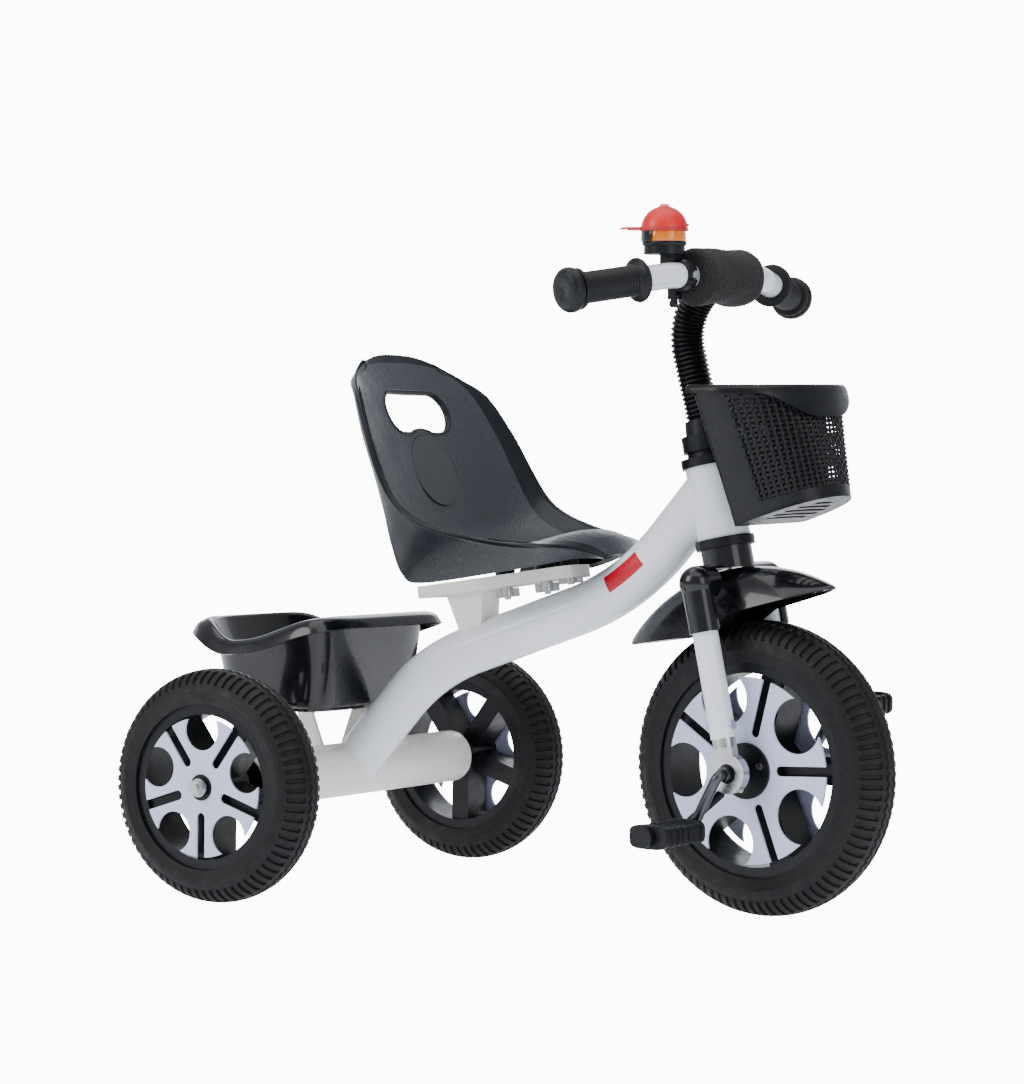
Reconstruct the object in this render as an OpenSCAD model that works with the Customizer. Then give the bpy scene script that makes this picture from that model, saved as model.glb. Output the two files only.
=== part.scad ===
// Children's tricycle: curved tube frame, bucket seat, front basket, rear bucket, bell.
// X is forward, Y is the rider's left, Z is up. The origin is on the ground under
// the middle of the overall box. All sizes are millimetres.

/* [Layout] */
// Distance from the rear axle to the front axle
wheelbase = 428; // [420:1:440]
// Half the distance between the middles of the rear tyres
half_track = 205; // [200:1:215]
// Lean of the steering axis back from vertical, degrees
rake = 12; // [10:0.5:14]
// Steering angle the tricycle is drawn at, degrees, positive to the rider's left
steer = -7; // [-15:1:15]

/* [Wheels] */
// Front tyre radius
front_r = 127; // [125:1:130]
// Front tyre half width
front_half_w = 26.5; // [24:0.5:28]
// Front tyre section half height
front_half_h = 25.5; // [24:0.5:27]
// Rear tyre radius
rear_r = 102; // [100:1:104]
// Rear tyre half width
rear_half_w = 25; // [23:0.5:26]
// Rear tyre section half height
rear_half_h = 21.5; // [20:0.5:23]
// Radius of the front wheel covers
front_cover_r = 80; // [78:1:82]
// Radius of the rear wheel covers
rear_cover_r = 60.5; // [59:0.5:62]
// Thickness of the wheel covers
cover_t = 2; // [1.5:0.5:2.5]
// Radius of the rear axle rod
rear_axle_r = 5; // [4.5:0.5:5.5]
// Running clearance of every bearing, radial
run_gap = 0.05; // [0.02:0.01:0.09]

/* [Frame] */
// Radius of the main tube
main_tube_r = 22; // [20:0.5:23]
// Radius of the rear axle tube
axle_tube_r = 24.5; // [23:0.5:26]
// Half length of the rear axle tube
axle_tube_half = 170; // [165:1:174]
// Radius of the head tube
head_tube_r = 23; // [22:0.5:24]
// Wall thickness of the frame tubes
tube_wall = 1.5; // [1.2:0.1:2]

/* [Steering] */
// Half the distance between the fork legs
leg_half = 52; // [50:0.5:54]
// Radius of the fork legs
leg_r = 11; // [10:0.5:11.5]
// Radius of the handlebar tube
bar_r = 11; // [10:0.5:11.5]
// Height of the handlebar above the front axle, along the steering axis
bar_up = 421; // [415:1:425]
// Distance of the handlebar in front of the steering axis
bar_forward = 39; // [36:1:42]
// Backward sweep of the handlebar ends, degrees
bar_sweep = 20; // [15:1:22]
// Radius of the mudguard's ridge about the front axle
guard_r = 173; // [171:1:174]

/* [Pedals] */
// Crank length
crank_len = 55; // [50:1:58]
// Angle of the left crank forward from straight up, degrees
crank_angle = 41.5; // [0:0.5:90]
// Length of a pedal block
pedal_len = 56; // [52:1:58]
// Width of a pedal block
pedal_w = 40; // [36:1:46]
// Thickness of a pedal block
pedal_t = 22; // [18:1:24]

/* [Seat] */
// Thickness of the moulded seat shell
seat_t = 4; // [3:0.5:5]
// Radius of the round disc in the backrest
disc_r = 34; // [30:1:36]

/* [Basket and bucket] */
// Wall thickness of the front basket and the rear bucket
tub_t = 2.5; // [2:0.5:3]

/* [Hidden] */
$fn = 64;
hull_fn = 32;
eps = 0.01;
body_gap = 0.3;

// Colours, as seen on the object
paint_white = "#E9EEF5";
satin_black = "#23262B";
tyre_black = "#1B1C1E";
zinc = "#B9BCC0";
cover_lilac = "#D9DDF0";

// Reference places
bucket_rear = -141;
rear_x = -(bucket_rear + wheelbase + front_r) / 2;
front_x = rear_x + wheelbase;

// Levels along the steering axis, measured up from the front axle
cup_h = 8;
lower_cup_up = 192;
head_tube_up = lower_cup_up + cup_h;
head_tube_len = 63.5;
upper_cup_up = head_tube_up + head_tube_len;
collar_up = upper_cup_up + cup_h + body_gap;
collar_len = 32;
cup_r = 25.7;
column_r = 12;
stem_r = 10;
crown_bar_up = 163;
sleeve_r = 13.5;
sleeve_low = 121;
leg_low = 30;
leg_top = 160;

// Hub sizes
front_rim_r = 92;
rear_rim_r = 72;
spoke_count = 5;
front_hub_half = 25.3;
rear_hub_half = 24.1;
rear_boss_r = 11.5;
spoke_turn = 32.5;
hub_screw_turn = 47.5;
crank_axle_r = 6;
crank_rod_r = 4.5;
crank_bend = 6;
eye_t = 9;
eye_r = 17;
bush_r = 8.5;
axle_half = 63.5;
pin_start = axle_half + 2 * crank_bend;
pedal_in = pin_start + 1;
pedal_out = pedal_in + pedal_len;

// Handlebar path: straight middle, a bend, then the straight that carries the grip
bar_mid = 60;
bar_bend = 40;
bar_end = 101;
bar_droop = 11;
grip_in = 25;
grip_len = 79;
grip_r = 13.4;
grip_flange_r = 19;

// Bell place on the right half of the handlebar
bell_y = -52;
bell_back = 12;
bell_out = 8;
bell_r = 19;

// ---- Places ----

// On the ground under the rear axle
module at_rear() translate([rear_x, 0, 0]) children();

// At the middle of a rear wheel; side is -1 for the right wheel and 1 for the left
module at_rear_wheel(side) translate([rear_x, side * half_track, rear_r]) children();

// At the front axle, with Z up along the steering axis and the steering straight
module at_head() translate([front_x, 0, front_r]) rotate([0, -rake, 0]) children();

// The same, turned with the steering
module at_fork() at_head() rotate([0, 0, steer]) children();

// At the handlebar's middle, level with the ground
module at_bar() at_fork() translate([bar_forward, 0, bar_up]) children();

// At the start of a handlebar end, with X out along the bar
module at_grip(side) {
    at_bar() mirror([0, side < 0 ? 1 : 0, 0]) rotate([0, -bar_droop, 0])
        rotate([0, 0, 90]) rotate([-90, 0, 0])
        translate([bar_mid + bar_bend * sin(bar_sweep), 0, bar_bend * (1 - cos(bar_sweep))])
        rotate([0, -bar_sweep, 0]) children();
}

// At the front axle, turned with the crank so that the left crank points up
module at_crank() at_fork() rotate([0, crank_angle, 0]) children();

// The same, turned so that X lies along a spoke of the front wheel
module at_spoke() at_crank() rotate([0, -spoke_turn, 0]) children();

// At the middle of a pedal pin, with the pedal level
module at_pedal(side) {
    at_crank() translate([0, side * (pedal_in + pedal_out) / 2, side * crank_len])
        rotate([0, rake - crank_angle, 0]) children();
}

// ---- Shapes that repeat ----

// Cylinder along Y, centred
module bar_y(r, h) rotate([90, 0, 0]) cylinder(r = r, h = h, center = true);

// Disc, or a ring when bore is above 0
module section(r, bore) difference() {
    circle(r = r);
    if (bore > 0) circle(r = bore);
}

// Bar or tube from the origin along +X. Each step is [length, bend radius, turn]: a straight
// when the radius is 0, else an arc that turns towards +Z, or -Z when turn is negative.
// A tube's straights stop a hair short of its bends, so every stretch is a solid of its own
module swept(steps, r, bore = 0, i = 0) {
    if (i < len(steps)) {
        bend = steps[i][1];
        turn = steps[i][2];
        short = bore > 0 ? eps : 0;
        if (bend == 0) {
            translate([short, 0, 0]) rotate([0, 90, 0]) linear_extrude(steps[i][0] - 2 * short)
                section(r, bore);
            translate([steps[i][0], 0, 0]) swept(steps, r, bore, i + 1);
        } else {
            mirror([0, 0, turn < 0 ? 1 : 0]) translate([0, 0, bend]) rotate([0, 90, 0])
                rotate([90, 0, 0]) rotate_extrude(angle = abs(turn)) translate([bend, 0])
                section(r, bore);
            translate([bend * sin(abs(turn)), 0, sign(turn) * bend * (1 - cos(turn))])
                rotate([0, -turn, 0]) swept(steps, r, bore, i + 1);
        }
    }
}

// Face normal at grid point i, j, from its neighbours
function grid_normal(g, i, j, ring) =
    let (n = len(g), m = len(g[0]),
        up = g[min(i + 1, n - 1)][j] - g[max(i - 1, 0)][j],
        next = ring ? (j + 1) % m : min(j + 1, m - 1),
        last = ring ? (j + m - 1) % m : max(j - 1, 0),
        c = cross(up, g[i][next] - g[i][last]))
    c / norm(c);

// Middle of a row of points
function row_mid(row, i = 0) =
    i < len(row) - 1 ? row[i] + row_mid(row, i + 1) : row[i];

// Shell of even thickness behind a grid of points. ring joins the last column to the first,
// and base closes the first ring with a floor
module shell(g, t, ring = false, base = false) {
    n = len(g);
    m = len(g[0]);
    total = n * m;
    sink = [0, 0, -abs(t)];
    front = [for (i = [0:n - 1], j = [0:m - 1]) g[i][j]];
    back = [for (i = [0:n - 1], j = [0:m - 1])
        let (out = t * grid_normal(g, i, j, ring))
        g[i][j] + (base && i == 0 ? [out[0], out[1], sink[2]] : out)];
    middle = row_mid(g[0]) / m;
    cols = ring ? m - 1 : m - 2;
    skin = [for (i = [0:n - 2], j = [0:cols])
        let (a = i * m + j, b = i * m + (j + 1) % m) each [[a, a + m, b], [b, a + m, b + m]]];
    lining = [for (f = skin) [f[2] + total, f[1] + total, f[0] + total]];
    first = [for (j = [0:cols]) let (a = j, b = (j + 1) % m)
        each base ? [[a, b, 2 * total], [b + total, a + total, 2 * total + 1]]
            : [[a, b, a + total], [b, b + total, a + total]]];
    last = [for (j = [0:cols]) let (c = (n - 1) * m + j, d = (n - 1) * m + (j + 1) % m)
        each [[c, c + total, d], [d, c + total, d + total]]];
    sides = ring ? [] : [for (i = [0:n - 2])
        let (a = i * m, b = a + m, c = a + m - 1, d = b + m - 1)
        each [[a, a + total, b], [b, a + total, b + total],
            [c, d, c + total], [d, d + total, c + total]]];
    faces = concat(skin, lining, first, last, sides);
    points = concat(front, back, base ? [middle, middle + sink] : []);
    polyhedron(points = points,
        faces = t > 0 ? faces : [for (f = faces) [f[2], f[1], f[0]]]);
}

// Point of an oval ring at angle a: the front half reaches fore, the rear half reaches aft
function oval(a, mid, fore, aft, half, fore_p, aft_p) =
    let (c = cos(a), s = sin(a), p = c > 0 ? fore_p : aft_p)
    [mid + sign(c) * (c > 0 ? fore : aft) * pow(abs(c), 2 / p),
        sign(s) * half * pow(abs(s), 2 / p)];

// Tyre about the Z axis: an oval section cut at the bead
module tyre(r, half_w, half_h, bead_r) {
    section = [for (a = [0:10:350])
        [r - half_h + half_h * cos(a), half_w * sign(sin(a)) * pow(abs(sin(a)), 0.95)]];
    rotate_extrude($fn = 96) difference() {
        polygon(section);
        translate([0, -half_w - 1]) square([bead_r, 2 * half_w + 2]);
    }
}

// Rim about the Z axis: band, hub, end bosses and spokes, open between the spokes
module rim(r, half_w, hub_r, hub_half, boss_r, boss_half, bore_r, spoke_w, spoke_half) {
    band_t = 9;
    difference() {
        union() {
            difference() {
                cylinder(r = r, h = 2 * half_w, center = true, $fn = 96);
                cylinder(r = r - band_t, h = 2 * half_w + 1, center = true, $fn = 96);
            }
            cylinder(r = hub_r, h = 2 * hub_half, center = true);
            cylinder(r = boss_r, h = 2 * boss_half, center = true);
            for (k = [0:spoke_count - 1]) rotate([0, 0, 360 / spoke_count * k])
                translate([0, -spoke_w / 2, -spoke_half])
                cube([r - band_t / 2, spoke_w, 2 * spoke_half]);
        }
        cylinder(r = bore_r, h = 3 * boss_half, center = true);
    }
}

// Wheel cover lying on the XY plane: five arms, each with a slot open at its end
module cover(r, hole_at, hole_r, slot_w, slot_from, centre_r) {
    difference() {
        cylinder(r = r, h = cover_t, $fn = 96);
        translate([0, 0, -1]) cylinder(r = centre_r, h = cover_t + 2);
        for (k = [0:spoke_count - 1]) rotate([0, 0, 360 / spoke_count * k]) {
            rotate([0, 0, 180 / spoke_count]) translate([hole_at, 0, -1])
                cylinder(r = hole_r, h = cover_t + 2);
            translate([slot_from + slot_w / 2, 0, -1]) cylinder(r = slot_w / 2, h = cover_t + 2);
            translate([slot_from + slot_w / 2, -slot_w / 2, -1]) cube([r, slot_w, cover_t + 2]);
        }
    }
}

// Domed screw along +Z, its head's flat face at the origin
module screw(head_r, head_h, shank_r, shank_len) {
    cylinder(r = head_r, h = head_h);
    translate([0, 0, -shank_len]) cylinder(r = shank_r, h = shank_len + eps);
}

// ---- Frame ----

// Slope of the main tube's middle stretch, and how far both ends bend from it
mid_slope = 19.5;
end_bend = 30;
main_steps = [[72, 0, 0], [0, 190, -end_bend], [114.6, 0, 0], [0, 220, end_bend], [54, 0, 0]];

module main_path(bore) {
    at_rear() translate([5.2, 0, 106.8]) rotate([0, -mid_slope - end_bend, 0])
        swept(main_steps, main_tube_r, bore);
}

module main_tube() color(paint_white) difference() {
    main_path(main_tube_r - tube_wall);
    at_rear() translate([0, 0, rear_r]) bar_y(axle_tube_r, 2 * axle_tube_half);
    at_head() translate([0, 0, head_tube_up]) cylinder(r = head_tube_r, h = head_tube_len);
}

module head_tube() color(paint_white) at_head() translate([0, 0, head_tube_up]) difference() {
    cylinder(r = head_tube_r, h = head_tube_len);
    translate([0, 0, -1]) cylinder(r = head_tube_r - 2 * tube_wall, h = head_tube_len + 2);
}

// Headset cup: a flange with a sleeve pressed into the head tube, bored for the column
module cup(insert) difference() {
    union() {
        cylinder(r = cup_r, h = cup_h);
        translate([0, 0, insert > 0 ? cup_h : -12])
            cylinder(r = head_tube_r - 2 * tube_wall, h = 12);
    }
    translate([0, 0, -20]) cylinder(r = column_r + run_gap, h = 50);
}

module headset_cup_upper() color(satin_black) at_head() translate([0, 0, upper_cup_up]) cup(-1);

module headset_cup_lower() color(satin_black) at_head() translate([0, 0, lower_cup_up]) cup(1);

module axle_tube() color("#F4F1EC") at_rear() translate([0, 0, rear_r]) difference() {
    bar_y(axle_tube_r, 2 * axle_tube_half);
    bar_y(axle_tube_r - tube_wall, 2 * axle_tube_half + 2);
}

// Plastic plugs in the ends of the axle tube, each with a spacer up to the wheel hub
module axle_tube_plugs() color(satin_black) at_rear() translate([0, 0, rear_r])
    for (side = [-1, 1]) difference() {
        union() {
            translate([0, side * (axle_tube_half - 10), 0]) bar_y(axle_tube_r - tube_wall, 20);
            translate([0, side * (axle_tube_half + 4.5), 0]) bar_y(10, 9);
        }
        translate([0, side * axle_tube_half, 0]) bar_y(rear_axle_r, 60);
    }

module rear_axle() color(zinc) at_rear() translate([0, 0, rear_r])
    bar_y(rear_axle_r, 2 * (half_track + rear_hub_half + 12));

// Washer and nut outside each rear wheel
module rear_axle_nuts() color(zinc) at_rear() translate([0, 0, rear_r])
    for (side = [-1, 1]) difference() {
        union() {
            translate([0, side * (half_track + rear_hub_half + 3.3), 0]) bar_y(8, 2);
            translate([0, side * (half_track + rear_hub_half + 7), 0]) rotate([90, 0, 0])
                cylinder(r = 7.5, h = 6, center = true, $fn = 6);
        }
        translate([0, side * (half_track + rear_hub_half), 0]) bar_y(rear_axle_r, 60);
    }

channel_slope = 8.5;
channel_len = 160;
channel_half = 22;
channel_h = 11;
channel_t = 2;
channel_round = 10;
bolt_places = [81, 123, 148];
// How far each seat bolt and its wing nut hang below the channel
stud_ends = [11, 11, 5.5];
nut_drops = [8, 8, 3.5];
slot_half = 5;

// At the rear lower corner of the seat channel, with X along it
module at_channel() at_rear() translate([87, 0, 262]) rotate([0, -channel_slope, 0]) children();

// Folded bracket, narrow at the main tube and wide at the seat channel
post_outer = [[23, 9], [66, 9], [57, -40], [38.5, -46]];
post_inner = [[26, 14], [63, 14], [54, -48], [41.5, -54]];
post_half = 15;
post_t = 2.5;

module seat_post() color(paint_white) difference() {
    at_channel() rotate([90, 0, 0]) linear_extrude(2 * post_half, center = true)
        polygon(post_outer);
    at_channel() rotate([90, 0, 0]) linear_extrude(2 * (post_half - post_t), center = true)
        polygon(post_inner);
    main_path(0);
}

// Plan of the channel, drawn in by inset, with its front corners rounded
module channel_plan(inset) {
    straight = channel_len - channel_round;
    narrow = channel_half - channel_round;
    translate([inset, inset - channel_half])
        square([straight - inset, 2 * (channel_half - inset)]);
    translate([straight, -narrow]) square([channel_round - inset, 2 * narrow]);
    for (side = [-1, 1]) translate([straight, side * narrow]) circle(r = channel_round - inset);
}

// Downward channel under the seat with slots for the wing nuts' bolts
module seat_channel() color("#ECE9E0") at_channel() difference() {
    linear_extrude(channel_h) channel_plan(0);
    translate([0, 0, -1]) linear_extrude(channel_h - channel_t + 1) channel_plan(channel_t);
    for (x = bolt_places) translate([x - slot_half, 0, 0]) {
        cylinder(r = 3.4, h = 20);
        translate([0, -3.4, 0]) cube([2 * slot_half, 6.8, 20]);
        translate([2 * slot_half, 0, 0]) cylinder(r = 3.4, h = 20);
    }
}

// Studs that hold the seat and carry the wing nuts
module seat_bolts() color(zinc) at_channel() for (k = [0:2])
    translate([bolt_places[k], 0, -stud_ends[k]]) cylinder(r = 3, h = channel_h + 12 + stud_ends[k]);

// Wing nut: hub, two wings and a flange against the channel
module seat_wing_nuts() color(zinc) at_channel() for (k = [0:2])
    translate([bolt_places[k], 0, 0]) difference() {
        union() {
            translate([0, 0, -nut_drops[k]])
                cylinder(r = 5.5, h = channel_h - channel_t + nut_drops[k]);
            rotate([0, 0, 40]) translate([-11, -1.5, -nut_drops[k] - 1]) cube([22, 3, 8]);
            translate([0, 0, channel_h - channel_t - 1.5]) cylinder(r = 9, h = 1.5);
        }
        translate([0, 0, -20]) cylinder(r = 3, h = 40);
    }

// ---- Seat ----

// Stations down the backrest and along the pan. Each row is the middle of the seating
// surface [x, z], the rim [x, half width, z], and the skirt's lower edge [x, half width, z]
seat_rows = [
    [[44, 483], [52, 60, 474], [41, 54, 469]],
    [[50, 470], [62, 88, 462], [51, 81, 457]],
    [[61, 446], [78, 108, 446], [67, 99, 442]],
    [[76, 411], [98, 122, 411], [84, 110, 407]],
    [[89, 378], [115, 129, 378], [100, 115, 373]],
    [[101, 346], [131, 131, 354], [111, 116, 342]],
    [[116, 319], [148, 131, 341], [115, 110, 314]],
    [[143, 304], [172, 131, 331], [121, 101, 287]],
    [[182, 302], [203, 127, 323], [134, 89, 279]],
    [[221, 310], [229, 117, 318], [205, 78, 290]],
    [[245, 324], [253, 92, 315], [238, 60, 297]],
    [[259, 328], [267, 64, 313], [258, 44, 302]],
    [[272, 324], [276, 42, 309], [268, 31, 303]],
    [[281, 314], [280, 26, 305], [274, 20, 303]]];
seat_across = 8;

// Seating surface between the middle and the rim at fraction u of the half width
function seat_mid(row, u) =
    let (k = pow(abs(u), 2.6), m = row[0], e = row[1])
    [m[0] + (e[0] - m[0]) * k, e[1] * u, m[1] + (e[2] - m[1]) * k];

// Skirt between the rim and its lower edge at fraction v, bulging a little outward
function seat_skirt(row, side, v) =
    let (e = row[1], k = row[2], w = e[1] + (k[1] - e[1]) * v + 1.5 * sin(180 * v))
    [e[0] + (k[0] - e[0]) * v, side * w, e[2] + (k[2] - e[2]) * v];

seat_grid = [for (row = seat_rows) concat(
    [for (v = [1, 0.66, 0.33]) seat_skirt(row, -1, v)],
    [for (k = [-seat_across:seat_across]) seat_mid(row, k / seat_across)],
    [for (v = [0.33, 0.66, 1]) seat_skirt(row, 1, v)])];

boss_heights = [16.5, 16, 24];

// At the middle of the disc, with Z out of the backrest
disc_lean = 21.5;
module at_disc() at_rear() translate([88.5, 0, 378]) rotate([0, 90 - disc_lean, 0]) children();

// Moulded seat with its hand hole, and the bosses that hold the seat bolts
module seat() color(satin_black) difference() {
    union() {
        at_rear() shell(seat_grid, -seat_t);
        at_channel() for (k = [0:2]) translate([bolt_places[k], 0, channel_h])
            cylinder(r = 9, h = boss_heights[k]);
    }
    at_channel() for (x = bolt_places) translate([x, 0, 0]) cylinder(r = 3, h = channel_h + 12.5);
    at_disc() translate([0, 0, -1]) cylinder(r = disc_r + 0.5, h = 20);
    at_disc() translate([0, 0, -30]) linear_extrude(60) difference() {
        union() {
            for (y = [-30, 30]) translate([-56, y]) circle(r = 21);
            translate([-77, -30]) square([42, 60]);
        }
        circle(r = disc_r + 5);
    }
}

module seat_disc() color(satin_black) at_disc() translate([0, 0, -1]) cylinder(r = disc_r, h = 2.2);

// ---- Rear bucket ----

bucket_mid = -50;
bucket_low = 161;
bucket_dip = 21;
// Rings of the inner face from the floor up, over the lip and down the flange:
// [height, reach forward, reach back, half width, share of the dip, rise in front]
bucket_rings = [[bucket_low + tub_t, 68, 48, 84, 0, 0], [190, 73, 55, 87, 0, 0],
    [215, 76, 62, 89.5, 0.3, 0], [238, 78, 69, 92, 1, 2], [243, 82, 72, 96, 1, 3],
    [240, 90, 82, 102, 1, 4], [231, 97, 91, 108, 1, 5]];
bucket_steps = 48;

// Share of the dip at angle a: deepest a little behind the middle, level at both ends
function bucket_wave(a) =
    let (x = oval(a, 12, 82, 72, 96, 6, 2.7)[0], u = min(1, abs(x) / (x > 0 ? 95 : 52)))
    (1 + cos(180 * u)) / 2;

function bucket_ring(q) = [for (k = [0:bucket_steps - 1])
    let (a = 360 * k / bucket_steps, p = oval(a, bucket_mid, q[1], q[2], q[3], 6, 2.7))
    [p[0], p[1], q[0] - bucket_dip * q[4] * bucket_wave(a) + q[5] * cos(a)]];

module rear_bucket() color(satin_black) at_rear() difference() {
    shell([for (q = bucket_rings) bucket_ring(q)], -tub_t, true, true);
    for (side = [-1, 1]) translate([bracket_x, side * bracket_bolt_y, bucket_low - 10])
        cylinder(r = 2.5, h = 30);
}

bracket_x = -20;
bracket_w = 16;
bracket_t = 3;
bracket_bolt_y = 36;

// Flat cross strap under the bucket on a V of two flat legs welded to the axle tube
strap_half = 55;
module bucket_bracket() color(paint_white) at_rear() difference() {
    translate([bracket_x - bracket_w / 2, 0, 0]) rotate([90, 0, 90]) linear_extrude(bracket_w) {
        translate([-strap_half, bucket_low - bracket_t]) square([2 * strap_half, bracket_t]);
        for (side = [-1, 1]) polygon([[side * 45, bucket_low - 1], [side * 49, bucket_low - 1],
            [side * 21, 108], [side * 17, 108]]);
    }
    translate([0, 0, rear_r]) bar_y(axle_tube_r, 2 * axle_tube_half);
    for (side = [-1, 1]) translate([bracket_x, side * bracket_bolt_y, bucket_low - 15])
        cylinder(r = 2.5, h = 30);
}

module bucket_bolts() color(zinc) at_rear() for (side = [-1, 1])
    translate([bracket_x, side * bracket_bolt_y, bucket_low + tub_t]) {
        screw(5, 2.5, 2.5, tub_t + bracket_t + 5);
        translate([0, 0, -tub_t - bracket_t - 3.5]) cylinder(r = 4.5, h = 3.5, $fn = 6);
    }

// ---- Steering ----

module steering_column() color(zinc) at_fork() difference() {
    translate([0, 0, 176]) cylinder(r = column_r, h = collar_up + collar_len - 176);
    translate([0, 0, 170]) cylinder(r = stem_r, h = 200);
}

module stem_collar() color(satin_black) at_fork() translate([0, 0, collar_up]) difference() {
    cylinder(r1 = 19.3, r2 = 16.5, h = collar_len);
    translate([0, 0, -1]) cylinder(r = column_r, h = collar_len + 2);
}

stem_low = 280;
stem_steps = [[24, 0, 0], [0, 300, -3.2], [42, 0, 0], [0, 55, 63.2], [16, 0, 0]];

// On the stem's line at that height above the front axle, with X up the stem
module at_stem(up) at_fork() translate([0, 0, up]) rotate([0, -90, 0]) rotate([180, 0, 0])
    children();

module handlebar_stem() color(paint_white) difference() {
    at_stem(stem_low) swept(stem_steps, stem_r);
    at_bar() bar_y(bar_r, 100);
}

// Bellows round the stem from the collar to the pad; the folds lie within this sleeve
bellows_r = 15;
module stem_bellows() color(satin_black) difference() {
    at_stem(stem_low + stem_steps[0][0])
        swept([for (i = [1:3]) stem_steps[i]], bellows_r, stem_r);
    at_bar() translate([pad_forward, 0, 0]) bar_y(pad_r + body_gap, 100);
}

module handlebar() color(paint_white) {
    at_bar() rotate([0, -bar_droop, 0]) rotate([90, 0, 0])
        linear_extrude(2 * (bar_mid - eps), center = true) section(bar_r, bar_r - tube_wall);
    at_bar() for (side = [0, 1]) mirror([0, side, 0]) translate([0, bar_mid, 0])
        rotate([0, -bar_droop, 0]) rotate([0, 0, 90]) rotate([-90, 0, 0])
        swept([[0, bar_bend, bar_sweep], [bar_end, 0, 0]], bar_r, bar_r - tube_wall);
}

pad_half = 41;
pad_r = 23.5;
pad_round = 8;
pad_forward = 2;

// Padded mesh sleeve laced round the stem joint
module handlebar_pad() color(satin_black) difference() {
    at_bar() translate([pad_forward, 0, 0]) rotate([90, 0, 0]) rotate_extrude() difference() {
        union() {
            translate([0, pad_round - pad_half]) square([pad_r, 2 * (pad_half - pad_round)]);
            translate([0, -pad_half]) square([pad_r - pad_round, 2 * pad_half]);
            for (end = [-1, 1]) translate([pad_r - pad_round, end * (pad_half - pad_round)])
                circle(r = pad_round);
        }
        translate([-30, -60]) square([30, 120]);
    }
    at_bar() bar_y(bar_r, 120);
    at_stem(stem_low) swept(stem_steps, stem_r);
}

// Grip: inner flange, ribbed body, and an end cap with a groove behind it
module grip(side) at_grip(side) rotate([0, 90, 0]) difference() {
    translate([0, 0, grip_in]) rotate_extrude() difference() {
        union() {
            square([grip_flange_r, 3]);
            square([grip_r, grip_len]);
            translate([0, grip_len - 17]) square([grip_flange_r - 1.5, 4]);
            translate([0, grip_len - 11]) square([grip_flange_r, 8]);
            translate([0, grip_len - 3]) square([grip_flange_r - 3, 3]);
        }
        translate([-1, -1]) square([1, grip_len + 2]);
    }
    cylinder(r = bar_r, h = bar_end);
}

module grip_right() color(satin_black) grip(-1);
module grip_left() color(satin_black) grip(1);

// ---- Bell ----

// At the handlebar inside the bell's clamp, with Z vertical
module at_bell() at_bar() translate([0, bell_y, 0]) rotate([0, rake, 0]) children();

// On the bell's own axis, at the height of the handlebar
module at_gong() at_bell() translate([-bell_back, -bell_out, 0]) children();

// Pivot of the thumb lever below the handlebar
module at_lever() at_bell() translate([-7, 0, -16.5]) children();

// Band round the bar with a bolt boss in front, two ears below, and the neck and base above
module bell_clamp() color(satin_black) difference() {
    union() {
        at_bell() bar_y(bar_r + 2.5, 12);
        at_bell() translate([8, -5, -5]) cube([bar_r - 5.5, 10, 10]);
        at_lever() translate([-4, -5, -3.5]) cube([8, 10, 9]);
        at_bell() translate([-14, -12, 6]) cube([14, 16, 14]);
        at_gong() translate([0, 0, 18]) cylinder(r = bell_r - 1.5, h = 8);
    }
    at_bell() bar_y(bar_r, 60);
    at_lever() bar_y(1.6 + run_gap, 20);
    at_lever() translate([-8, -2.3, -14]) cube([16, 4.6, 18.2]);
}

// Domed amber body on its base
module bell_body() color("#F5A40C") at_gong() translate([0, 0, 26])
    cylinder(r = bell_r - 0.5, h = 13);

// Cap: a half ball with a peak that points back and a small button on top
module bell_cap() color("#F23A3C") at_gong() translate([0, 0, 39]) {
    intersection() {
        sphere(r = bell_r + 1);
        cylinder(r = 40, h = 40);
    }
    translate([0, 0, 19]) cylinder(r = 4, h = 2);
    intersection() {
        translate([-22, 0, 0]) cylinder(r = 20, h = 1.8);
        translate([-60, -16, 0]) cube([60, 32, 1.8]);
    }
}

module bell_bolt() color(zinc) at_bell() translate([bar_r + 2.5, 0, 0])
    rotate([0, 90, 0]) cylinder(r = 4, h = 3, $fn = 6);

// Thumb lever on a pin between the clamp's two ears
module bell_lever() color(satin_black) at_lever() {
    bar_y(1.6, 10);
    bar_y(3.8, 4);
    rotate([0, 190, 0]) translate([-2.5, -2, 0]) cube([5, 4, 7]);
    rotate([0, 190, 0]) translate([0, 0, 7]) bar_y(3.4, 4);
}

// ---- Fork ----

// Crown: neck, cross bar, and a sleeve down the outside of each leg
module fork_crown() color(satin_black) at_fork() difference() {
    union() {
        translate([0, 0, crown_bar_up]) cylinder(r = 22, h = lower_cup_up - body_gap - crown_bar_up);
        translate([0, 0, crown_bar_up]) bar_y(15, 2 * leg_half);
        for (side = [-1, 1]) translate([0, side * leg_half, 0]) {
            translate([0, 0, crown_bar_up]) sphere(r = 15);
            translate([0, 0, sleeve_low]) cylinder(r = sleeve_r, h = crown_bar_up - sleeve_low);
        }
    }
    bar_y(guard_r + 0.5, 2 * (leg_half - 16));
    for (side = [-1, 1]) translate([0, side * leg_half, 0]) {
        cylinder(r = leg_r, h = leg_top);
        translate([-30, side > 0 ? -30 : 4, 60]) cube([60, 26, 90]);
    }
    translate([0, 0, 176]) cylinder(r = column_r, h = 30);
    cylinder(r = 2, h = 180);
}

rivet_up = 40;

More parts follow.
